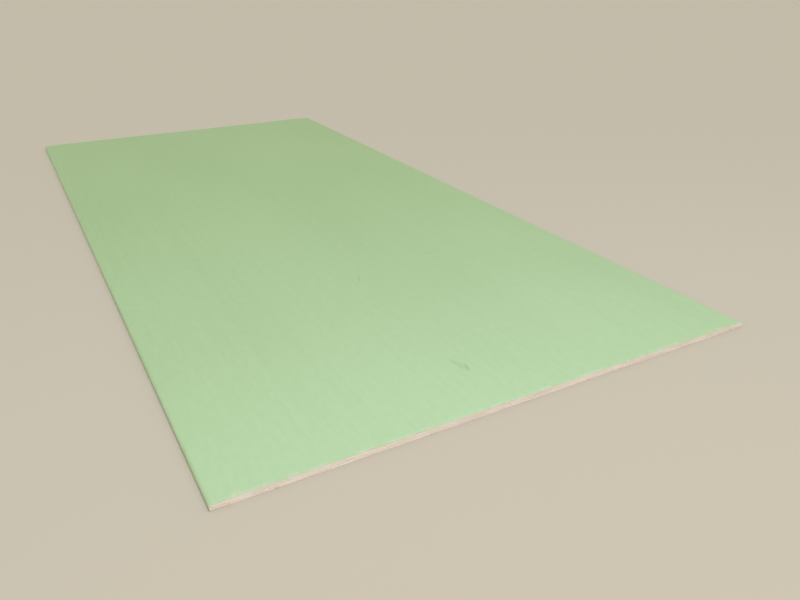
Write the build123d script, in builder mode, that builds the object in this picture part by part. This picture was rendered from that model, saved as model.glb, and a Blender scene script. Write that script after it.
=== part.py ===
from build123d import *
import os

# Moisture-resistant drywall sheet: a gypsum core bound in two paper liners.
#
# The sheet lies flat with its green face up. The origin is the middle of its back, +X runs along
# the length, +Y across the width and +Z out of the green face. Sizes are in millimetres.

# The sheet
length = 2500.0  # between the two sawn ends
width = 1200.0  # between the two bound long edges, at their widest
thickness = 12.5  # from back to face, over the flat middle

# The paper liners
face_caliper = 0.4  # green liner, which wraps both long edges
back_caliper = 0.35  # grey liner, which closes the back
bare_margin = 12.0  # green left showing on the back, in from the long edge
back_lap = 16.0  # how far the grey liner laps over the folded green flap

# The long edges, thinned and half-round on the face side
taper_width = 50.0  # from the long edge in to the full thickness
taper_depth = 1.5  # from the face down to the top of the round
heel_radius = 3.0  # tight round between the edge and the back
edge_land = 0.6  # upright left between the heel and the round

half_width = width / 2
flap_reach = bare_margin + back_lap
edge_top = thickness - taper_depth
round_radius = edge_top - edge_land - heel_radius - back_caliper


def bound_outline():
    """Cross-section of all that the green liner binds, out to the liner's own outer side."""
    with BuildSketch() as outline:
        with BuildLine():
            back_middle = (0, back_caliper)
            back_corner = (half_width, back_caliper)
            edge_corner = (half_width, edge_top)
            taper_start = (half_width - taper_width, thickness)
            face_middle = (0, thickness)
            FilletPolyline(
                (back_middle, back_corner, edge_corner, taper_start, face_middle),
                radius=(heel_radius, round_radius, 0),
            )
            mirror(about=Plane.YZ)
        make_face()
    return outline.sketch


def core_outline():
    """Cross-section of the gypsum: the bound section less the liner, flush with the back liner
    between the two flaps."""
    with BuildSketch() as outline:
        offset(bound_outline(), amount=-face_caliper, kind=Kind.INTERSECTION)
        with Locations((0, back_caliper)):
            Rectangle(width - 2 * flap_reach, face_caliper, align=(Align.CENTER, Align.MIN))
    return outline.sketch


# Gypsum core, cast between the liners and sawn square at both ends
with BuildPart() as gypsum_core:
    with BuildSketch(Plane.YZ):
        add(core_outline())
    extrude(amount=length / 2, both=True)

# Green face paper, one strip: over the face, round both long edges and folded on to the back
with BuildPart() as face_paper:
    with BuildSketch(Plane.YZ):
        add(bound_outline())
        add(core_outline(), mode=Mode.SUBTRACT)
    extrude(amount=length / 2, both=True)

# Grey back paper, laid flat over the core and over the ends of the two flaps
with BuildPart() as back_paper:
    with BuildSketch():
        Rectangle(length, width - 2 * bare_margin)
    extrude(amount=back_caliper)

gypsum_core.part.label = "gypsum_core"
face_paper.part.label = "face_paper"
back_paper.part.label = "back_paper"

os.makedirs("parts", exist_ok=True)
export_step(gypsum_core.part, "parts/gypsum_core.step")
export_step(face_paper.part, "parts/face_paper.step")
export_step(back_paper.part, "parts/back_paper.step")
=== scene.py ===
# %% [markdown]
# # A moisture-resistant drywall sheet
#
# A drywall sheet is a slab of gypsum between two papers. It lies flat here with its green face up, and
# the camera looks down on it from beyond one sawn end. The sheet is nearly featureless, so its looks
# rest on four quiet things: the form of the bound edge, the torn texture of the sawn gypsum, the
# surface of each paper, and light that is soft but not even. Each step below makes one of them.
#
# The first cell loads the measured model. Every later size is read from it, or named beside it.

# %% Load the measured model
import math

import bpy
import numpy as np
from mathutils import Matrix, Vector


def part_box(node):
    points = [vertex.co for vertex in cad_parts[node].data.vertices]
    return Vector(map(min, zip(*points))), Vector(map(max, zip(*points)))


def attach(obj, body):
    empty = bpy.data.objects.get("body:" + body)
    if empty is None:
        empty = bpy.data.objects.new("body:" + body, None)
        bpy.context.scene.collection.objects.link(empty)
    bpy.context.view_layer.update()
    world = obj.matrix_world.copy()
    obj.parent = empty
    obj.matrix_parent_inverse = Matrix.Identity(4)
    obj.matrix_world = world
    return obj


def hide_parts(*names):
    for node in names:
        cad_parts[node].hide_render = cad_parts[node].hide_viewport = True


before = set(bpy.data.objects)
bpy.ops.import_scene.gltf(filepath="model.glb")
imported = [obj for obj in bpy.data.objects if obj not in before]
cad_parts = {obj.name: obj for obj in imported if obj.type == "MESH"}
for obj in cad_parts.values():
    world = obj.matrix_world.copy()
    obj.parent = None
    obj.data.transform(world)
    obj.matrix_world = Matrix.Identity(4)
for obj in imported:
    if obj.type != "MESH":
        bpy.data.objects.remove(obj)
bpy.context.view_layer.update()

# %% [markdown]
# ## Sizes
#
# The boxes of the three solids give the length, the width, the thickness and how thick each paper is.
# Only the form of the long edge isn't in a box, so its own few sizes are named here. A real sheet is
# thinned along both long edges, to leave room for the jointing tape, and the edge itself is a round
# on the face side with a tighter heel at the back.

# %% Sizes of the sheet, in metres
MM = 0.001

core_high, face_high, back_high = (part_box(node)[1] for node in ("gypsum_core", "face_paper", "back_paper"))
half_length, half_width, thickness = face_high
back_caliper = back_high.z
face_caliper = thickness - core_high.z

taper_width = 50 * MM
taper_depth = 1.5 * MM
heel_radius = 3 * MM
edge_land = 0.6 * MM
flap_reach = 28 * MM
edge_top = thickness - taper_depth
round_radius = edge_top - edge_land - heel_radius - back_caliper

print(f"sheet {2 * half_length:.3f} x {2 * half_width:.3f} x {thickness:.4f} m")
print(f"papers {face_caliper / MM:.2f} and {back_caliper / MM:.2f} mm, round {round_radius / MM:.2f} mm")

# %% [markdown]
# ## The camera
#
# The camera comes first, because it decides which details are worth making. It stands low beyond the
# sawn end and a little to one side, so that the length runs away to the upper left, and both the sawn
# gypsum and a bound edge can be seen. A wide lens used close up makes the far end much smaller than
# the near one, which tells the eye how long the sheet is.

# %% Stand the camera beyond the sawn end
def add_object(name, data):
    """A new object in the scene, at the origin."""
    thing = bpy.data.objects.new(name, data)
    bpy.context.scene.collection.objects.link(thing)
    return thing


lens = bpy.data.cameras.new("camera")
lens.lens = 32
camera = add_object("camera", lens)
bpy.context.scene.camera = camera

camera_stand = Vector((2.1, -0.75, 0.75))
camera_aim = Vector((0.76, 0.0, 0.0))
sight = camera_aim - camera_stand
camera.location = camera_stand
camera.rotation_mode = "QUATERNION"
camera.rotation_quaternion = sight.to_track_quat("-Z", "Y")
print("camera looks down by", round(math.degrees(math.asin(-sight.z / sight.length)), 1), "degrees")

# %% [markdown]
# ## The line that the paper follows
#
# Both papers start as straight webs from a roll, and only their path differs: the back paper lies
# flat, and the face paper goes over the face, round both long edges and under to the back. So one
# method can make both, if it is given the path in cross-section. A bevelled box would be quicker, but
# its corners are one radius each, and this edge has two radii, a short upright and a slope.
#
# A path is a list of points across the sheet. Round stretches are arcs with many short steps, and the
# flat face gets a point every 1.4 mm, so that its cut can be ragged and the face itself can ripple.

# %% Draw arcs and straight stretches
arc_steps = 14
column_pitch = 1.4 * MM


def arc(centre, radius, start, end):
    """Points from one angle to another, in degrees, about a centre given as (y, z)."""
    angles = np.radians(np.linspace(start, end, arc_steps + 1))
    return [(centre[0] + radius * math.cos(a), centre[1] + radius * math.sin(a)) for a in angles]


def stretch(start, end, pitch):
    """Evenly spaced points from start to end, without either of them."""
    steps = max(1, round(math.dist(start, end) / pitch))
    return [(start[0] + (end[0] - start[0]) * i / steps, start[1] + (end[1] - start[1]) * i / steps)
            for i in range(1, steps)]


# %% [markdown]
# The bound edge is drawn once, for the +Y side, from the back flap up to the shoulder where the
# thinning starts. The drawing takes an inset, because the gypsum under the paper has the same edge,
# smaller by one thickness of paper. The face paper's path is that edge, the flat face, and the same
# edge mirrored.

# %% Draw the bound edge
taper_slope = taper_depth / taper_width
taper_angle = math.degrees(math.atan(taper_slope))
taper_stretch = math.hypot(1, taper_slope)
shoulder_y = half_width - taper_width
heel_centre = (half_width - heel_radius, back_caliper + heel_radius)
round_centre_y = half_width - round_radius
round_centre_z = thickness - taper_slope * (round_centre_y - shoulder_y) - round_radius * taper_stretch
round_centre = (round_centre_y, round_centre_z)


def bound_edge(inset):
    """From the flap's end at the back to the shoulder on the face, moved inwards by inset."""
    flap_end = (half_width - flap_reach, back_caliper + inset)
    heel = arc(heel_centre, heel_radius - inset, -90, 0)
    nose = arc(round_centre, round_radius - inset, 0, 90 - taper_angle)
    shoulder = (shoulder_y, thickness - inset)
    under = stretch(flap_end, heel[0], column_pitch)
    slope = stretch(nose[-1], shoulder, column_pitch)
    return [flap_end, *under, *heel, *nose, *slope, shoulder]


def mirrored(points):
    """The same points on the -Y side, in the opposite order."""
    return [(-y, z) for y, z in reversed(points)]


edge = bound_edge(0)
face_flat = stretch(edge[-1], (-shoulder_y, thickness), column_pitch)
wrap_path = [*edge, *face_flat, *mirrored(edge)]
print("the wrap's path has", len(wrap_path), "points; its upright is",
      round((round_centre[1] - heel_centre[1]) / MM, 2), "mm")

# %% [markdown]
# ## Geometry Nodes: lay a liner along its path
#
# A liner is a surface that follows a rule: the same path at every station along the length, and one
# thickness everywhere. Geometry Nodes suits that, because both papers then share one tree and differ
# only in its inputs. The tree sweeps the path, bunches the stations towards the two ends, roughens the
# cut line there, adds the faint ripple of a web that dried on a moving belt, and gives the surface its
# thickness last, so that nothing can push the two sides apart.
#
# The helpers come first: one adds a node with its settings and wires, and the others use it for
# arithmetic, vectors and noise.

# %% Helpers for node trees
def add_node(tree, kind, wires=None, values=None, **settings):
    """A new node: settings are its own options, values its sockets, wires what feeds them."""
    node = tree.nodes.new(kind)
    for name, value in settings.items():
        setattr(node, name, value)
    for name, value in (values or {}).items():
        node.inputs[name].default_value = value
    for name, source in (wires or {}).items():
        tree.links.new(source, node.inputs[name])
    return node


def calculate(tree, operation, *terms):
    """A Math node of up to three terms, each a number or a socket."""
    node = tree.nodes.new("ShaderNodeMath")
    node.operation = operation
    for i, term in enumerate(terms):
        if isinstance(term, (int, float)):
            node.inputs[i].default_value = term
        else:
            tree.links.new(term, node.inputs[i])
    return node.outputs[0]


def fold(tree, operation, terms):
    """All the terms taken together, two at a time."""
    result = terms[0]
    for term in terms[1:]:
        result = calculate(tree, operation, result, term)
    return result


def product(tree, *terms):
    """The terms multiplied."""
    return fold(tree, "MULTIPLY", terms)


def highest(tree, *terms):
    """Whichever of the terms is highest at a point."""
    return fold(tree, "MAXIMUM", terms)


def vector(tree, **axes):
    """A vector from sockets for X, Y and Z."""
    return add_node(tree, "ShaderNodeCombineXYZ", axes).outputs[0]


def split(tree, whole):
    """The X, Y and Z of a vector."""
    return add_node(tree, "ShaderNodeSeparateXYZ", {"Vector": whole}).outputs


def noise_at(tree, place, size, detail=3.0, roughness=0.5, distortion=0.0):
    """Noise from 0 to 1 with features of the given size."""
    noise = add_node(tree, "ShaderNodeTexNoise", {"Vector": place}, {
        "Scale": 1 / size, "Detail": detail, "Roughness": roughness, "Distortion": distortion})
    return noise.outputs["Fac"]


def add_inputs(tree, sockets):
    """Named inputs for a Geometry Nodes tree, and its Geometry output."""
    tree.interface.new_socket("Geometry", in_out="OUTPUT", socket_type="NodeSocketGeometry")
    tree.interface.new_socket("Geometry", in_out="INPUT", socket_type="NodeSocketGeometry")
    for name, kind in sockets:
        tree.interface.new_socket(name, in_out="INPUT", socket_type=f"NodeSocket{kind}")
    return tree.nodes.new("NodeGroupInput").outputs, tree.nodes.new("NodeGroupOutput").inputs


# %% [markdown]
# The ripple is a noise stretched far along X, since a sheet's unevenness runs with the belt. It only ever
# goes down from the nominal face, and by less than the paper is thick, so the gypsum stays hidden.

# %% Ripple of the face
ripple_length = 0.9
ripple_width = 0.11


def add_ripple(tree, x, y, height, seed):
    """How far the face lies below its nominal height at x, y."""
    along = calculate(tree, "DIVIDE", x, ripple_length)
    across = calculate(tree, "DIVIDE", y, ripple_width)
    return product(tree, height, noise_at(tree, vector(tree, X=along, Y=across, Z=seed), 1.0, detail=2))


# %% [markdown]
# The tree itself reads as a recipe: sweep, shape, thicken, realize, then give the cut faces a material
# of their own. Its three main steps are functions, and the next three cells write them.

# %% Build the liner tree
def liner_tree():
    """Path in, closed paper out."""
    tree = bpy.data.node_groups.new("Lay a liner along its path", "GeometryNodeTree")
    given, result = add_inputs(tree, [
        ("Half Length", "Float"), ("Stations", "Int"), ("Caliper", "Float"), ("Ripple Height", "Float"),
        ("Cut Raggedness", "Float"), ("Seed", "Float"), ("Paper", "Material"), ("Cut Plies", "Material"),
    ])
    swept = sweep_path(tree, given)
    shaped = shape_surface(tree, given, swept)
    closed = add_caliper(tree, given, shaped)
    realized = add_node(tree, "GeometryNodeRealizeInstances", {"Geometry": closed["Geometry"]})
    papered = add_node(tree, "GeometryNodeSetMaterial",
                       {"Geometry": realized.outputs[0], "Material": given["Paper"]})
    plied = add_node(tree, "GeometryNodeSetMaterial", {
        "Geometry": papered.outputs[0], "Selection": closed["Cut"], "Material": given["Cut Plies"]})
    tree.links.new(plied.outputs[0], result["Geometry"])
    return tree


# %% [markdown]
# Sweeping: Curve to Mesh drags the path along a straight line. It leaves a section drawn in the XY
# plane upside down, so a half turn about X sets it right.

# %% Sweep the path from end to end
def sweep_path(tree, given):
    """The open surface, with its columns along X and evenly spaced stations."""
    path = add_node(tree, "GeometryNodeMeshToCurve", {"Mesh": given["Geometry"]})
    far = vector(tree, X=product(tree, given["Half Length"], -1))
    near = vector(tree, X=given["Half Length"])
    line = add_node(tree, "GeometryNodeCurvePrimitiveLine", {"Start": far, "End": near})
    stations = add_node(tree, "GeometryNodeResampleCurve",
                        {"Curve": line.outputs[0], "Count": given["Stations"]})
    upright = add_node(tree, "GeometryNodeSetCurveNormal", {"Curve": stations.outputs[0]}, mode="Z_UP")
    swept = add_node(tree, "GeometryNodeCurveToMesh",
                     {"Curve": upright.outputs[0], "Profile Curve": path.outputs[0]})
    turned = add_node(tree, "GeometryNodeTransform", {"Geometry": swept.outputs[0]},
                      {"Rotation": (math.pi, 0, 0)})
    return turned.outputs[0]


# %% [markdown]
# Shaping: with t running from -1 to 1 along the sheet, x = half length * t * (1.5 - 0.5 * t * t)
# keeps both ends where they are and draws the stations towards them, where the cut line needs them.
# The cut itself wanders inwards by a fraction of a millimetre, and never past the true end.

# %% Bunch the stations, add the ripple and roughen the cut
ragged_pitch = 3.5 * MM
end_zone = 0.02 * MM


def shape_surface(tree, given, surface):
    """Moves the swept points along X and lowers the face."""
    axes = split(tree, add_node(tree, "GeometryNodeInputPosition").outputs[0])
    t = calculate(tree, "DIVIDE", axes["X"], given["Half Length"])
    bunched = calculate(tree, "SUBTRACT", 1.5, product(tree, 0.5, t, t))
    x = product(tree, given["Half Length"], t, bunched)

    place = vector(tree, X=t, Y=axes["Y"], Z=axes["Z"])
    ragged = noise_at(tree, place, ragged_pitch, detail=4, roughness=0.7)
    at_cut = calculate(tree, "GREATER_THAN", calculate(tree, "ABSOLUTE", axes["X"]),
                       calculate(tree, "SUBTRACT", given["Half Length"], end_zone))
    bite = product(tree, ragged, at_cut, given["Cut Raggedness"], calculate(tree, "SIGN", t))
    on_face = calculate(tree, "GREATER_THAN", axes["Z"], thickness / 2)
    drop = product(tree, on_face, add_ripple(tree, x, axes["Y"], given["Ripple Height"], given["Seed"]))

    moved = vector(tree, X=calculate(tree, "SUBTRACT", x, bite), Y=axes["Y"],
                   Z=calculate(tree, "SUBTRACT", axes["Z"], drop))
    return add_node(tree, "GeometryNodeSetPosition", {"Geometry": surface, "Position": moved}).outputs[0]


# %% [markdown]
# Thickness: the surface is the paper's outer side. A flipped copy is extruded inwards by the caliper,
# which also makes the narrow faces at the cuts, and merging it with the outer side closes the paper.
# Those narrow faces are the plies seen end on, so they come out as a selection of their own.

# %% Give the surface its thickness
weld_distance = 0.01 * MM


def add_caliper(tree, given, surface):
    """A closed paper, and a selection of the faces at its cuts."""
    flipped = add_node(tree, "GeometryNodeFlipFaces", {"Mesh": surface})
    inner = add_node(tree, "GeometryNodeExtrudeMesh",
                     {"Mesh": flipped.outputs[0], "Offset Scale": given["Caliper"]}, {"Individual": False})
    cut = add_node(tree, "GeometryNodeCaptureAttribute", {"Geometry": inner.outputs["Mesh"]}, domain="FACE")
    cut.capture_items.new("BOOLEAN", "Cut")
    tree.links.new(inner.outputs["Side"], cut.inputs["Cut"])
    both = add_node(tree, "GeometryNodeJoinGeometry")
    tree.links.new(surface, both.inputs[0])
    tree.links.new(cut.outputs["Geometry"], both.inputs[0])
    welded = add_node(tree, "GeometryNodeMergeByDistance", {"Geometry": both.outputs[0]},
                      {"Distance": weld_distance})
    return {"Geometry": welded.outputs[0], "Cut": cut.outputs["Cut"]}


# %% [markdown]
# Running a tree: its inputs are set by identifier before the object is first evaluated, the evaluated
# result becomes a plain mesh, and the modifier goes. Edges sharper than 30 degrees stay crisp, and the
# arcs, which turn by a few degrees at each step, shade as round.

# %% Run a tree and keep a plain mesh
crease_angle = math.radians(30)


def grow(name, base, tree, inputs):
    """An object made by running the tree on a base mesh."""
    piece = add_object(name, base)
    modifier = piece.modifiers.new("grow", "NODES")
    modifier.node_group = tree
    for socket in tree.interface.items_tree:
        if socket.name in inputs:
            modifier[socket.identifier] = inputs[socket.name]
    bpy.context.view_layer.update()
    graph = bpy.context.evaluated_depsgraph_get()
    finished = bpy.data.meshes.new_from_object(piece.evaluated_get(graph), depsgraph=graph)
    piece.modifiers.clear()
    piece.data = finished
    finished.name = name
    finished.polygons.foreach_set("use_smooth", np.ones(len(finished.polygons), bool))
    finished.set_sharp_from_angle(angle=crease_angle)
    finished.calc_loop_triangles()
    print(name, "has", len(finished.loop_triangles), "triangles")
    return piece


def path_mesh(name, points):
    """A wire mesh of one open path, drawn in the XY plane as (across, up)."""
    mesh = bpy.data.meshes.new(name)
    mesh.from_pydata([(y, z, 0) for y, z in points], [(i, i + 1) for i in range(len(points) - 1)], [])
    return mesh


# %% [markdown]
# ## Helpers for materials
#
# Each finish below is one Principled shader fed by noises on Object coordinates, which are metres on
# the sheet, so detail 2 mm across is a place divided by 0.002. The first helpers make a material with
# its fixed shader values, a noise that can be stretched along one axis, and a weighed sum of noises.
# Nearly all of a noise lies between 0.3 and 0.7, which is the range that gets spread out to 0 and 1.

# %% Helpers for noises
noise_low = 0.3
noise_high = 0.7


def new_material(name, **constants):
    """A material with its Principled shader's fixed values set, its tree and its coordinates."""
    material = bpy.data.materials.new(name)
    material.use_nodes = True
    tree = material.node_tree
    shader = tree.nodes["Principled BSDF"]
    for socket, value in constants.items():
        shader.inputs[socket.replace("_", " ")].default_value = value
    place = tree.nodes.new("ShaderNodeTexCoord").outputs["Object"]
    return material, tree, shader, place


def measured_in(tree, place, size):
    """The place in units of the given sizes along X, Y and Z, which are in metres."""
    scaled = add_node(tree, "ShaderNodeMapping", {"Vector": place}, {"Scale": tuple(1 / s for s in size)})
    return scaled.outputs[0]


def add_noise(tree, place, size, **settings):
    """Noise from 0 to 1 with features of the given sizes along X, Y and Z, in metres."""
    return noise_at(tree, measured_in(tree, place, size), 1.0, **settings)


def weigh(tree, *parts):
    """The sum of several sockets, each given with its weight."""
    total = 0.0
    for value, weight in parts:
        total = calculate(tree, "MULTIPLY_ADD", value, weight, total)
    return total


def spread(tree, value, low=noise_low, high=noise_high, to_low=0.0, to_high=1.0):
    """Maps a value from one range to another, with soft ends."""
    node = add_node(tree, "ShaderNodeMapRange", {"Value": value},
                    {"From Min": low, "From Max": high, "To Min": to_low, "To Max": to_high},
                    interpolation_type="SMOOTHSTEP")
    return node.outputs["Result"]


# %% [markdown]
# The others lay colours over each other and wire the shader. Every finish here is matt, so its
# roughness differs a little from place to place, and the relief too fine to model is a chain of bumps.

# %% Helpers for colours and relief
def blend(tree, factor, first, second):
    """Two colours mixed: the factor is a socket, and each colour is three numbers or a socket."""
    node = add_node(tree, "ShaderNodeMix", {"Factor": factor}, data_type="RGBA")
    for socket, colour in ((node.inputs[6], first), (node.inputs[7], second)):
        if isinstance(colour, bpy.types.NodeSocket):
            tree.links.new(colour, socket)
        else:
            socket.default_value = (*colour, 1)
    return node.outputs[2]


def paint(tree, base, colour, where, strength):
    """The base with a colour laid over it where a socket from 0 to 1 says, as thick as strength."""
    return blend(tree, product(tree, where, strength), base, colour)


def dress(tree, shader, colour, unevenness, roughness, bumps):
    """Wires the shader: its colour, a roughness between two values as the unevenness goes, and a
    chain of bumps, each a (height socket, depth in metres) pair."""
    tree.links.new(colour, shader.inputs["Base Color"])
    tree.links.new(spread(tree, unevenness, to_low=roughness[0], to_high=roughness[1]),
                   shader.inputs["Roughness"])
    normal = None
    for height, depth in bumps:
        bump = add_node(tree, "ShaderNodeBump", {"Height": height}, {"Strength": 1.0, "Distance": depth})
        if normal is not None:
            tree.links.new(normal, bump.inputs["Normal"])
        normal = bump.outputs[0]
    tree.links.new(normal, shader.inputs["Normal"])


# %% [markdown]
# ## Green face paper
#
# The face is a smooth, matt, mint-green paper. Close up it is a felt of fine fibres, a little cloudy
# where they bunch, with faint streaks along the length from the machine. All of that is low in
# contrast: at arm's length the sheet looks plain, and a strong pattern would make it look like stone.
# So each layer moves the colour by a few percent, and the bump is a few hundredths of a millimetre.
#
# Single fibres that took more or less dye are Voronoi cells, of which only a few are kept, by their
# random colour, and each is squeezed along one axis so that it is a fibre and not a dot. One layer of
# them lies all one way, so a finish takes several layers, each turned by its own angle. The place they
# read is warped a little first, which curls the fibres as they dry in a real web.

# %% Warp a place and scatter cells
def warp(tree, place, size, amount):
    """The place moved along each axis by 0 to amount, over features of the given size."""
    noise = add_node(tree, "ShaderNodeTexNoise", {"Vector": place}, {"Scale": 1 / size, "Detail": 2.0})
    moved = add_node(tree, "ShaderNodeVectorMath", {0: noise.outputs["Color"], 2: place},
                     {1: (amount,) * 3}, operation="MULTIPLY_ADD")
    return moved.outputs[0]


def scatter_cells(tree, place, size):
    """Voronoi cells: how far the place is from a cell's heart, and two random numbers of that cell."""
    cells = add_node(tree, "ShaderNodeTexVoronoi", {"Vector": measured_in(tree, place, size)},
                     {"Scale": 1.0}, feature="F1")
    drawn = add_node(tree, "ShaderNodeSeparateColor", {"Color": cells.outputs["Color"]}).outputs
    return cells.outputs["Distance"], drawn["Red"], drawn["Green"]


# %% Scatter short fibres
fibre_rim = 0.38
fibre_heart = 0.2
fibre_curl = {"size": 7 * MM, "amount": 4 * MM}


def flecks(tree, place, size, turn, share):
    """Scattered short fibres, 0 or near 1: turn in degrees, share the part of the cells with one."""
    turned = add_node(tree, "ShaderNodeVectorRotate", {"Vector": place},
                      {"Angle": math.radians(turn)}, rotation_type="Z_AXIS")
    from_heart, chance, _ = scatter_cells(tree, turned.outputs[0], size)
    kept = calculate(tree, "LESS_THAN", chance, share)
    return product(tree, kept, spread(tree, from_heart, fibre_rim, fibre_heart))


def felt_of(tree, place, size, turns, share):
    """Several layers of flecks, one for each turn, together from 0 to 1."""
    return highest(tree, *(flecks(tree, place, size, turn, share) for turn in turns))


# %% [markdown]
# Two marks from handling lie near the middle of the width: a fine scratch, and a rub closer to the
# sawn end, which is a short dark stroke in a wider, fainter blotch. Each is an ellipse of its real
# size, turned as it lies. A hand doesn't draw ellipses, so the place that they read is warped, and a
# streaky noise breaks up the two that were rubbed. The warp moves a mark by about half its amount
# along X and Y, which the centres below allow for.

# %% Soft marks on the face
scratch_mark = {"centre": (0.6265, -0.0405), "size": (54 * MM, 3.2 * MM), "turn": -24}
stroke_mark = {"centre": (1.115, -0.040), "size": (40 * MM, 9 * MM), "turn": -18}
blotch_mark = {"centre": (1.0985, -0.0495), "size": (76 * MM, 18 * MM), "turn": 9}
mark_core = 0.35
scratch_waver = {"size": 14 * MM, "amount": 4 * MM}
rub_waver = {"size": 9 * MM, "amount": 9 * MM}


def mark(tree, place, centre, size, turn):
    """A soft ellipse on the face from 0 to 1: centre and size in metres, turn in degrees."""
    offset = add_node(tree, "ShaderNodeVectorMath", {0: place}, {1: (*centre, 0)}, operation="SUBTRACT")
    turned = add_node(tree, "ShaderNodeVectorRotate", {"Vector": offset.outputs[0]},
                      {"Angle": -math.radians(turn)}, rotation_type="Z_AXIS")
    scaled = add_node(tree, "ShaderNodeVectorMath", {0: turned.outputs[0]},
                      {1: (2 / size[0], 2 / size[1], 0)}, operation="MULTIPLY")
    reach = add_node(tree, "ShaderNodeVectorMath", {0: scaled.outputs[0]}, operation="LENGTH")
    return spread(tree, reach.outputs["Value"], 1.0, mark_core)


# %% [markdown]
# Two things lie along the edges of every sheet that has been sawn and carried. The round of the long
# edges is a little paler: partly the rub of hands, partly a painted highlight where the round meets the
# light. The saw leaves gypsum dust on the last few millimetres of the face. Both depend only on how far
# a point is from an edge, which the Object coordinates give, and a noise breaks them up. Painting them
# on an image would tie them to one size of sheet.

# %% Wear and a painted highlight along the edges
patches_from = 0.4
patches_full = 0.68
rub_and_highlight_reach = 7 * MM
dust_reach = 11 * MM
full_strength_share = 0.1


def near_rim(tree, coordinate, half_size, reach, patches):
    """Rises from 0 at reach in from the rim to 1 at a tenth of that, broken into patches."""
    inwards = calculate(tree, "SUBTRACT", half_size, calculate(tree, "ABSOLUTE", coordinate))
    closeness = spread(tree, inwards, reach, full_strength_share * reach)
    return product(tree, closeness, spread(tree, patches, patches_from, patches_full))


# %% [markdown]
# The finish is then laid on in the order in which the paper got it: its two mints, the pale and the
# deep fibres, the marks of handling, and on top the dust and the paler edge round, which is partly wear
# and partly painted highlight. Each coat is one colour, a place where it lies and a strength, so any of
# them can be changed alone.

# %% Dye the paper and lay its fibres
mint_dark = (0.340, 0.524, 0.266)
mint_light = (0.391, 0.582, 0.311)
pale_fibre = (0.56, 0.72, 0.46)
deep_fibre = (0.24, 0.40, 0.18)


def dyed_felt(tree, place, tone):
    """The paper's own colour, with its fibres."""
    mint = blend(tree, spread(tree, tone), mint_dark, mint_light)
    curl = warp(tree, place, **fibre_curl)
    pale = felt_of(tree, curl, (4.6 * MM, 0.55 * MM, 1.2 * MM), turns=(18, -47, 81), share=0.07)
    deep = felt_of(tree, curl, (3.6 * MM, 0.6 * MM, 1.2 * MM), turns=(-12, 56), share=0.07)
    mint = paint(tree, mint, pale_fibre, pale, strength=0.3)
    return paint(tree, mint, deep_fibre, deep, strength=0.25)


# %% Mark and wear the paper
blotch_share = 0.6
rubbed_mint = (0.30, 0.43, 0.24)
scratched_mint = (0.26, 0.39, 0.19)
# pale band on the round of the long edges: partly wear, partly painted highlight
rub_and_highlight_mint = (0.52, 0.66, 0.46)
gypsum_dust = (0.66, 0.66, 0.52)


def marked_by_hands(tree, place, mint, scratch):
    """The colour with the scratch and the rub."""
    unsteady = warp(tree, place, **rub_waver)
    stroke = mark(tree, unsteady, **stroke_mark)
    blotch = product(tree, mark(tree, unsteady, **blotch_mark), blotch_share)
    streaky = add_noise(tree, unsteady, (11 * MM, 2.2 * MM, 3 * MM), detail=5, roughness=0.7)
    rubbed = product(tree, highest(tree, stroke, blotch), spread(tree, streaky, low=0.32, high=0.56))
    marked = paint(tree, mint, rubbed_mint, rubbed, strength=0.9)
    return paint(tree, marked, scratched_mint, scratch, strength=0.8)


def worn_and_highlit_at_edges(tree, place, mint):
    """The colour with dust beside the saw cuts, and a paler round on the long edges: wear and painted
    highlight.
    """
    axes = split(tree, place)
    edge_patches = add_noise(tree, place, (70 * MM, 45 * MM, 20 * MM), detail=6, roughness=0.75)
    # the paler round of the long edges: partly wear, partly a painted highlight
    rubbed_and_highlit = near_rim(tree, axes["Y"], half_width, rub_and_highlight_reach, edge_patches)
    dusted = near_rim(tree, axes["X"], half_length, dust_reach, edge_patches)
    worn = paint(tree, mint, rub_and_highlight_mint, rubbed_and_highlit, strength=0.4)
    return paint(tree, worn, gypsum_dust, dusted, strength=0.4)


# %% [markdown]
# Four noises make the paper's tone, from fibres of half a millimetre to a drift of nearly a metre, and
# the same tone drives the gloss a little. The bumps use only the finer ones.

# %% Mix the green face paper
def green_face_paper():
    """Matt mint-green liner."""
    material, tree, shader, place = new_material(
        "mint_green_liner", Sheen_Weight=0.12, Sheen_Roughness=0.6, IOR=1.45)
    fibres = add_noise(tree, place, (0.9 * MM, 0.5 * MM, 0.5 * MM), detail=4, roughness=0.65,
                       distortion=1.2)
    clouds = add_noise(tree, place, (22 * MM, 14 * MM, 14 * MM), detail=3)
    streaks = add_noise(tree, place, (650 * MM, 9 * MM, 9 * MM), detail=3)
    drift = add_noise(tree, place, (900 * MM, 420 * MM, 420 * MM), detail=1)
    tone = weigh(tree, (fibres, 0.38), (clouds, 0.22), (streaks, 0.16), (drift, 0.24))

    scratch = mark(tree, warp(tree, place, **scratch_waver), **scratch_mark)
    mint = dyed_felt(tree, place, tone)
    mint = marked_by_hands(tree, place, mint, scratch)
    mint = worn_and_highlit_at_edges(tree, place, mint)
    scored = calculate(tree, "SUBTRACT", 1.0, scratch)
    dress(tree, shader, mint, tone, roughness=(0.64, 0.74), bumps=[
        (clouds, 0.05 * MM), (fibres, 0.03 * MM), (scored, 0.1 * MM)])
    return material


# %% [markdown]
# Cut across, the same paper shows its plies: only the outermost is dyed, and the rest is pale grey
# recycled board. The strip is under half a millimetre wide, so it needs one broken, dusty tone.

# %% Mix the cut plies
ply_dark = (0.42, 0.42, 0.3)
ply_light = (0.66, 0.64, 0.5)


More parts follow.
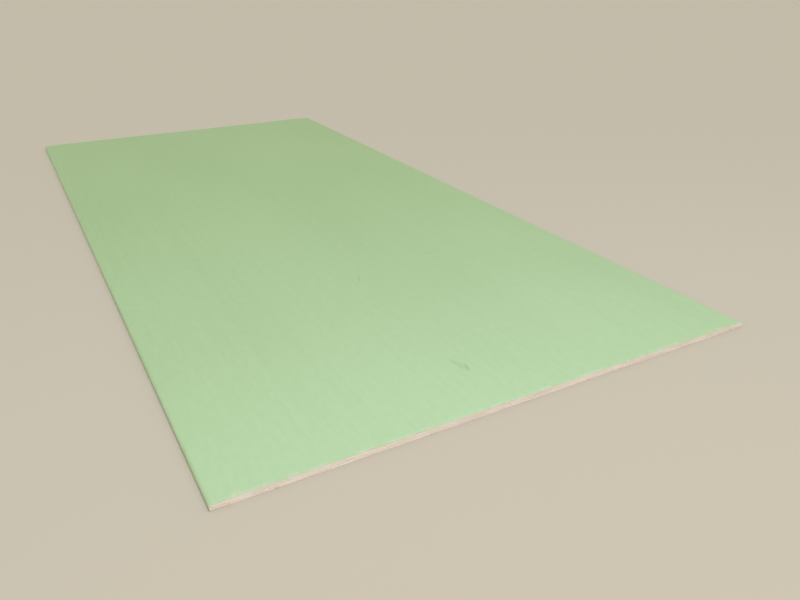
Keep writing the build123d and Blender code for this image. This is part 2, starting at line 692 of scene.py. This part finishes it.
def cut_plies():
    """Paper seen end on at a saw cut."""
    material, tree, shader, place = new_material("cut_paper_plies", IOR=1.45)
    fray = add_noise(tree, place, (1.5 * MM, 1.5 * MM, 0.15 * MM), detail=4, roughness=0.7)
    board = blend(tree, spread(tree, fray), ply_dark, ply_light)
    dress(tree, shader, board, fray, roughness=(0.8, 0.95), bumps=[(fray, 0.12 * MM)])
    return material


# %% [markdown]
# ## Grey back paper
#
# The back is unbleached board from mixed waste paper: grey-brown, duller than the face and flecked
# with short fibres of other papers, dark and light. They are made as the face's fibres are, only
# larger and far stronger in contrast.

# %% Mix the grey back paper
board_dark = (0.35, 0.30, 0.235)
board_light = (0.47, 0.42, 0.345)
dark_speck = (0.14, 0.12, 0.1)
light_speck = (0.66, 0.62, 0.54)


def grey_back_paper():
    """Dull recycled liner."""
    material, tree, shader, place = new_material("recycled_back_liner", IOR=1.45)
    felt = add_noise(tree, place, (1.2 * MM, 0.6 * MM, 0.6 * MM), detail=4, roughness=0.65,
                     distortion=1.0)
    clouds = add_noise(tree, place, (26 * MM, 16 * MM, 16 * MM), detail=4)
    streaks = add_noise(tree, place, (500 * MM, 7 * MM, 7 * MM), detail=3)
    tone = weigh(tree, (felt, 0.4), (clouds, 0.35), (streaks, 0.25))
    board = blend(tree, spread(tree, tone), board_dark, board_light)

    curl = warp(tree, place, **fibre_curl)
    dark = felt_of(tree, curl, (4.5 * MM, 1.3 * MM, 2 * MM), turns=(12, -38, 70), share=0.06)
    light = felt_of(tree, curl, (5.0 * MM, 1.5 * MM, 2 * MM), turns=(33, -74), share=0.06)
    board = paint(tree, board, dark_speck, dark, strength=0.6)
    board = paint(tree, board, light_speck, light, strength=0.5)
    dress(tree, shader, board, tone, roughness=(0.78, 0.9), bumps=[
        (clouds, 0.06 * MM), (felt, 0.05 * MM)])
    return material


# %% [markdown]
# ## Sawn gypsum
#
# Gypsum is cast as a foam, so a saw opens thousands of small bubbles. The core is cream, a shade
# darker in thin lines along the sheet's plane where the slurry was denser, and dusty white where
# crystals broke. Fine bubbles are Voronoi cells in three sizes, and in each most are small and a few
# much wider. Their depth falls off as a bowl does, and only the deeper part of each gets painted shade:
# a dark disc with a hard rim would look like a printed dot. The place they read is warped, so that
# none is a true circle. The few bubbles that are large enough to cast a shade of their own are real
# hollows, made further down.

# %% Scatter fine bubbles
smallest_rim = 0.12
rim_range = 0.36
large_are_rare = 2.5


def fine_bubbles(tree, place, size, share):
    """Depth of scattered bowls from 0 to 1: size of the cells, and the part of them with a bubble."""
    from_heart, chance, luck = scatter_cells(tree, place, (size,) * 3)
    opened = calculate(tree, "LESS_THAN", chance, share)
    rarity = calculate(tree, "POWER", luck, large_are_rare)
    rim = calculate(tree, "MULTIPLY_ADD", rarity, rim_range, smallest_rim)
    bowl = calculate(tree, "SUBTRACT", 1.0, calculate(tree, "DIVIDE", from_heart, rim))
    return product(tree, spread(tree, bowl, low=0.0, high=1.0), opened)


# %% Mix the sawn gypsum
bubble_layers = ((0.7 * MM, 0.6), (1.5 * MM, 0.45), (2.9 * MM, 0.4))
cream_dark = (0.68, 0.60, 0.455)
cream_light = (0.83, 0.775, 0.625)
# painted shade for the hollows of the fine bubbles
painted_pit_shade = (0.47, 0.39, 0.27)


def sawn_gypsum():
    """Cream foamed gypsum, cut across."""
    material, tree, shader, place = new_material("sawn_gypsum", IOR=1.5)
    crystals = add_noise(tree, place, (0.5 * MM, 0.5 * MM, 0.5 * MM), detail=5, roughness=0.7)
    layers = add_noise(tree, place, (60 * MM, 90 * MM, 1.6 * MM), detail=2)
    patches = add_noise(tree, place, (30 * MM, 45 * MM, 12 * MM), detail=3)
    torn = warp(tree, place, size=0.5 * MM, amount=0.22 * MM)
    bubbles = highest(tree, *(fine_bubbles(tree, torn, *layer) for layer in bubble_layers))

    tone = weigh(tree, (layers, 0.5), (patches, 0.3), (crystals, 0.2))
    cream = blend(tree, spread(tree, tone, low=0.32, high=0.66), cream_dark, cream_light)
    # painted shade in the deeper part of each fine bubble
    cream = paint(tree, cream, painted_pit_shade, bubbles, strength=0.35)
    solid = calculate(tree, "SUBTRACT", 1.0, bubbles)
    dress(tree, shader, cream, crystals, roughness=(0.85, 0.97), bumps=[
        (crystals, 0.12 * MM), (solid, 0.35 * MM)])
    return material


# %% [markdown]
# All four finishes are mixed once, because the cut faces of both papers share the same plies.

# %% Mix all four finishes
mint_paper = green_face_paper()
ply_edge = cut_plies()
recycled_paper = grey_back_paper()
gypsum = sawn_gypsum()
print("materials:", [m.name for m in (mint_paper, ply_edge, recycled_paper, gypsum)])

# %% [markdown]
# ## Lay the two papers
#
# Now the tree runs twice. The face paper takes the wrapped path, and its cut wanders by a third of a
# millimetre.

# %% Lay the face paper
liner = liner_tree()
face_stations = 36
face_piece = grow("face_paper_wrap", path_mesh("wrap_path", wrap_path), liner, {
    "Half Length": half_length,
    "Stations": face_stations,
    "Caliper": face_caliper,
    "Ripple Height": 0.12 * MM,
    "Cut Raggedness": 0.35 * MM,
    "Seed": 4.0,
    "Paper": mint_paper,
    "Cut Plies": ply_edge,
})

# %% [markdown]
# The back paper's path is a straight line at floor height, drawn so that its outer side faces down. It
# stays flat, because the sheet's weight rests on it, and so it needs fewer stations and no ripple.

# %% Lay the back paper
half_back = back_high.y
back_stations = 20
back_pitch = 2 * MM
back_ends = ((-half_back, 0.0), (half_back, 0.0))
back_path = [back_ends[0], *stretch(*back_ends, back_pitch), back_ends[1]]
back_piece = grow("back_paper_liner", path_mesh("back_path", back_path), liner, {
    "Half Length": half_length,
    "Stations": back_stations,
    "Caliper": back_caliper,
    "Ripple Height": 0.0,
    "Cut Raggedness": 0.3 * MM,
    "Seed": 9.0,
    "Paper": recycled_paper,
    "Cut Plies": ply_edge,
})

# %% [markdown]
# ## The gypsum core
#
# Only the two sawn ends of the core can be seen, so nearly all of its points go there. Each end is a
# plate of columns across the width and rows through the thickness. The top and bottom of every column
# come from the inset edge, so the gypsum meets the paper all the way round the nose.

# %% Find the core's top and bottom across the width
core_edge = bound_edge(face_caliper)
core_round = round_radius - face_caliper
core_heel = heel_radius - face_caliper
tangent_reach = core_round * math.sin(math.radians(taper_angle))
core_pitch = 0.55 * MM
lap_step = 0.01 * MM


def core_top(y):
    """Height of the gypsum under the face paper."""
    slope = thickness - taper_slope * (y - shoulder_y) - face_caliper * taper_stretch
    reach = min(y - round_centre_y, core_round)
    nose = round_centre_z + math.sqrt(core_round ** 2 - max(reach, 0) ** 2)
    return min(thickness - face_caliper, nose if reach > tangent_reach else slope)


def core_bottom(y):
    """Height of the gypsum over the back paper, or over the folded flap."""
    if y < half_width - flap_reach:
        return back_caliper
    reach = min(max(y - heel_centre[0], 0), core_heel)
    return heel_centre[1] - math.sqrt(core_heel ** 2 - reach ** 2)


def core_columns():
    """Places of the columns from the middle to the nose, with the arcs' own points."""
    lap = half_width - flap_reach
    arc_starts = heel_centre[0]
    flat = np.arange(0, arc_starts, core_pitch)
    nose = [y for y, z in core_edge if y > arc_starts]
    return sorted({round(float(y), 7) for y in [*flat, lap - lap_step, lap, shoulder_y, *nose]})


right_half = core_columns()
columns = [-y for y in reversed(right_half[1:])] + right_half
print(len(columns), "columns, nose", round(columns[-1] / MM, 2), "mm from the middle")

# %% [markdown]
# The blank is written as plain arrays: two plates of columns and rows, one at each end, and a skin of
# long faces between their rims. Its faces are listed so that all of them point outwards.

# %% Make the core's mesh
core_rows = 20


def core_mesh():
    """A closed slab with finely divided ends."""
    tops = np.array([core_top(abs(y)) for y in columns])
    bottoms = np.array([core_bottom(abs(y)) for y in columns])
    share = np.linspace(0, 1, core_rows)
    heights = bottoms[:, None] + (tops - bottoms)[:, None] * share[None, :]
    across = np.repeat(np.array(columns)[:, None], core_rows, 1)
    ends = [np.stack([np.full_like(across, x), across, heights], -1).reshape(-1, 3)
            for x in (-half_length, half_length)]

    count = len(columns) * core_rows
    index = np.arange(count).reshape(len(columns), core_rows)
    lower, upper = index[:-1, :-1], index[:-1, 1:]
    plate = np.stack([lower, index[1:, :-1], index[1:, 1:], upper], -1).reshape(-1, 4)
    rim = np.concatenate([index[:, 0], index[-1, 1:], index[-2::-1, -1], index[0, -2:0:-1]])
    following = np.roll(rim, -1)
    sides = np.stack([rim + count, rim, following, following + count], -1)
    faces = np.concatenate([plate + count, plate[:, ::-1], sides])

    mesh = bpy.data.meshes.new("core_blank")
    mesh.from_pydata(np.concatenate(ends).tolist(), [], faces.tolist())
    return mesh


core_blank = core_mesh()
print("core blank:", len(core_blank.vertices), "points")

# %% [markdown]
# ## Geometry Nodes: break the sawn ends
#
# A saw leaves the core's end slightly behind the paper, uneven and pocked with the larger bubbles.
# Scattering the bubbles is work for Geometry Nodes: it strews points over the two ends, gives each a
# random radius, and moves every point of the end plate that lies within a bubble inwards, as a bowl
# with a soft rim. The points keep two of the largest radii apart, so that no two bowls cut into each
# other. Cutting real balls out with booleans would be far slower and would leave slivers.

# %% Hollow out the larger bubbles
rare_power = 3.0
bowl_power = 1.4


def sample(tree, points, value, nearest, data_type):
    """A value read at the nearest of the strewn points."""
    read = add_node(tree, "GeometryNodeSampleIndex", {"Geometry": points, "Value": value, "Index": nearest},
                    data_type=data_type, domain="POINT")
    return read.outputs[0]


def bubble_bowls(tree, given, position, on_end):
    """How deep each point of the end lies in a bubble, in metres."""
    apart = product(tree, given["Largest Bubble"], 2)
    strewn = add_node(tree, "GeometryNodeDistributePointsOnFaces", {
        "Mesh": given["Geometry"], "Selection": on_end, "Distance Min": apart,
        "Density Max": given["Bubbles per Area"], "Seed": given["Seed"]}, distribute_method="POISSON")
    chance = add_node(tree, "FunctionNodeRandomValue", {"Seed": given["Seed"]}, data_type="FLOAT")
    rarity = calculate(tree, "POWER", chance.outputs["Value"], rare_power)
    size_range = calculate(tree, "SUBTRACT", given["Largest Bubble"], given["Smallest Bubble"])
    radius = calculate(tree, "MULTIPLY_ADD", rarity, size_range, given["Smallest Bubble"])

    points = strewn.outputs["Points"]
    nearest = add_node(tree, "GeometryNodeSampleNearest", {"Geometry": points}, domain="POINT").outputs[0]
    centre = sample(tree, points, position, nearest, "FLOAT_VECTOR")
    reach = sample(tree, points, radius, nearest, "FLOAT")
    away = add_node(tree, "ShaderNodeVectorMath", {0: centre, 1: position}, operation="DISTANCE")
    out = calculate(tree, "MINIMUM", calculate(tree, "DIVIDE", away.outputs["Value"], reach), 1.0)
    inside = calculate(tree, "SUBTRACT", 1.0, product(tree, out, out))
    return product(tree, reach, given["Bowl Depth"], calculate(tree, "POWER", inside, bowl_power))


# %% [markdown]
# The torn grain is two noises: one drawn out across the width, since the teeth of the saw ran that way,
# and a finer one for the crystals that broke out. Together they and the bowls say how far each point
# of an end moves inwards.

# %% Tear the ends
end_facing = 0.9
saw_drag = 0.12
saw_line_pitch = 1.6 * MM
saw_line_share = 0.6
crumb_size = 1.8 * MM


def torn_grain(tree, given, position, axes):
    """How far the saw tore each point inwards, in metres."""
    drawn_out = vector(tree, X=axes["X"], Y=product(tree, axes["Y"], saw_drag), Z=axes["Z"])
    saw_lines = noise_at(tree, drawn_out, saw_line_pitch, detail=2)
    crumble = noise_at(tree, position, crumb_size, detail=4)
    uneven = calculate(tree, "MULTIPLY_ADD", saw_lines, saw_line_share, crumble)
    return product(tree, given["Tear"], uneven)


def broken_end_tree():
    """Core blank in, core with rough and pocked ends out."""
    tree = bpy.data.node_groups.new("Break the sawn ends", "GeometryNodeTree")
    given, result = add_inputs(tree, [
        ("Bubbles per Area", "Float"), ("Smallest Bubble", "Float"), ("Largest Bubble", "Float"),
        ("Bowl Depth", "Float"), ("Tear", "Float"), ("Setback", "Float"), ("Seed", "Int"),
        ("Gypsum", "Material"),
    ])
    position = add_node(tree, "GeometryNodeInputPosition").outputs[0]
    axes = split(tree, position)
    facing = split(tree, add_node(tree, "GeometryNodeInputNormal").outputs[0])["X"]
    on_end = calculate(tree, "GREATER_THAN", calculate(tree, "ABSOLUTE", facing), end_facing)

    hollow = bubble_bowls(tree, given, position, on_end)
    tear = torn_grain(tree, given, position, axes)
    inwards = calculate(tree, "ADD", given["Setback"], calculate(tree, "ADD", tear, hollow))
    shift = vector(tree, X=product(tree, inwards, calculate(tree, "SIGN", axes["X"]), -1))
    broken = add_node(tree, "GeometryNodeSetPosition", {"Geometry": given["Geometry"], "Offset": shift})
    realized = add_node(tree, "GeometryNodeRealizeInstances", {"Geometry": broken.outputs[0]})
    finished = add_node(tree, "GeometryNodeSetMaterial",
                        {"Geometry": realized.outputs[0], "Material": given["Gypsum"]})
    tree.links.new(finished.outputs[0], result["Geometry"])
    return tree


# %% [markdown]
# The bubbles are 1.4 to 3.8 mm across, up to six to a square centimetre, and most of them lie at the
# small end of that range.

# %% Break the ends of the core
core_piece = grow("gypsum_core_sawn", core_blank, broken_end_tree(), {
    "Bubbles per Area": 60000.0,
    "Smallest Bubble": 0.7 * MM,
    "Largest Bubble": 1.9 * MM,
    "Bowl Depth": 0.65,
    "Tear": 0.16 * MM,
    "Setback": 0.03 * MM,
    "Seed": 11,
    "Gypsum": gypsum,
})

# %% [markdown]
# ## Light and floor
#
# The light is soft and comes from all round, a little warm, and one broad and cooler lamp hangs beyond
# the near end. So the sawn gypsum and the near part of the face are brightest, and the face turns
# darker and warmer along its length, mostly over the nearest metre. A sheet this flat would look cut
# from card under even light.
#
# A world does two jobs: it lights the scene from all sides, and it is what the camera sees where the
# floor ends. Light Path tells the two apart. Rays that look get the tone of the floor, so that no
# horizon shows from any side, and all others get the light. The tone is a beige just dark enough for
# the sawn end to stand out paler.

# %% Light the sheet from all round
soft_light = (0.835, 0.835, 0.70)
backdrop_tone = (0.55, 0.50, 0.397)

world = bpy.data.worlds.new("soft_surroundings")
bpy.context.scene.world = world
world.use_nodes = True
sky = world.node_tree
given_off = sky.nodes["Background"]
given_off.inputs["Color"].default_value = (*soft_light, 1)
seen = add_node(sky, "ShaderNodeBackground", values={"Color": (*backdrop_tone, 1)})
ray = add_node(sky, "ShaderNodeLightPath").outputs
looked_at = highest(sky, ray["Is Camera Ray"], ray["Is Glossy Ray"], ray["Is Transmission Ray"])
either = add_node(sky, "ShaderNodeMixShader", {
    "Fac": looked_at, 1: given_off.outputs[0], 2: seen.outputs[0]})
sky.links.new(either.outputs[0], sky.nodes["World Output"].inputs["Surface"])
bpy.context.scene.view_settings.view_transform = "Standard"
print("light from all round", soft_light, "and backdrop", backdrop_tone)

# %% [markdown]
# The lamp is a level square as wide as the sheet, so that its light has no hard edge and falls off
# evenly along the length. Its tint is a cool violet, which makes the green paper below it paler and
# less yellow. The camera doesn't see the lamp itself.

# %% Hang the lamp
lamp_place = Vector((2.5, -0.2, 2.2))
lamp_size = 1.2
lamp_spread = math.radians(150)
lamp_power = 42.0
lamp_colour = (0.70, 0.615, 1.0)

light = bpy.data.lights.new("broad_lamp", "AREA")
light.size = lamp_size
light.spread = lamp_spread
light.energy = lamp_power
light.color = lamp_colour
lamp = add_object("broad_lamp", light)
lamp.location = lamp_place
lamp.visible_camera = False
print(lamp.name, "hangs", round(lamp_place.x - half_length, 2), "m beyond the near end")

# %% [markdown]
# The lamp would leave a pool of light on the floor, and the eye would go there and not to the sheet.
# How the light of a level lamp falls off is known: at a distance of h lamp heights from the spot below
# it, by (1 + h * h) squared, and by a straight line to nothing where its spread ends. A broad lamp
# lights the floor as a small one does that hangs a little higher. So the floor's own colour is the tone
# that it should show, divided by the light that falls there. A part of the pool is left, without its
# tint, as a gentle glow near the sawn end.

# %% Work out the lamp's light on the floor
soft_height = math.hypot(lamp_place.z, lamp_size / 2)
spread_end = math.tan(lamp_spread / 2)
spread_gain = spread_end / (spread_end - lamp_spread / 2)
level_below = lamp_power * spread_gain * (lamp_place.z / math.pi) ** 2 / soft_height ** 4
glow_left = 0.14
print("the lamp adds", round(level_below, 2), "right below it, as a share of white")


def evened_tone(tree, place):
    """The colour that shows the backdrop's tone under the light from all round and the lamp's."""
    below = (lamp_place.x, lamp_place.y, 0)
    away = add_node(tree, "ShaderNodeVectorMath", {0: place}, {1: below}, operation="DISTANCE")
    heights = calculate(tree, "DIVIDE", away.outputs["Value"], soft_height)
    widened = calculate(tree, "MULTIPLY_ADD", heights, heights, 1.0)
    cut = calculate(tree, "MULTIPLY_ADD", heights, -1 / spread_end, 1.0)
    falloff = calculate(tree, "DIVIDE", highest(tree, cut, 0.0), product(tree, widened, widened))
    tone = add_node(tree, "ShaderNodeCombineColor")
    for i in range(3):
        evened_part = level_below * (lamp_colour[i] - glow_left)
        light_here = calculate(tree, "MULTIPLY_ADD", falloff, evened_part, soft_light[i])
        tree.links.new(calculate(tree, "DIVIDE", backdrop_tone[i], light_here), tone.inputs[i])
    return tone.outputs[0]


# %% [markdown]
# The floor itself is one plain, pale face, so wide that its far side is lost in the backdrop. It lies a
# tenth of a millimetre under the sheet, so that no face of one lies in a face of the other.

# %% Lay the floor
floor_half = 40.0
floor_gap = 0.1 * MM
floor_corners = [(floor_half * x, floor_half * y, -floor_gap)
                 for x, y in ((-1, -1), (1, -1), (1, 1), (-1, 1))]
floor_mesh = bpy.data.meshes.new("floor")
floor_mesh.from_pydata(floor_corners, [], [(0, 1, 2, 3)])
floor = add_object("floor", floor_mesh)
floor_material, floor_tree, floor_shader, floor_place = new_material(
    "pale_floor", Roughness=0.9, Specular_IOR_Level=0.2)
floor_tree.links.new(evened_tone(floor_tree, floor_place), floor_shader.inputs["Base Color"])
floor_mesh.materials.append(floor_material)
print("floor", 2 * floor_half, "m wide")

# %% [markdown]
# ## Put the pieces on the sheet's body
#
# Each piece stands for one solid, whose own mesh from the measured model is hidden, and rides on the
# sheet's only body.

# %% Tie the pieces to the measured model
for piece, node, slot in (
    (face_piece, "face_paper", "green_face_paper"),
    (back_piece, "back_paper", "grey_back_paper"),
    (core_piece, "gypsum_core", "gypsum"),
):
    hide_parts(node)
    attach(piece, "root")
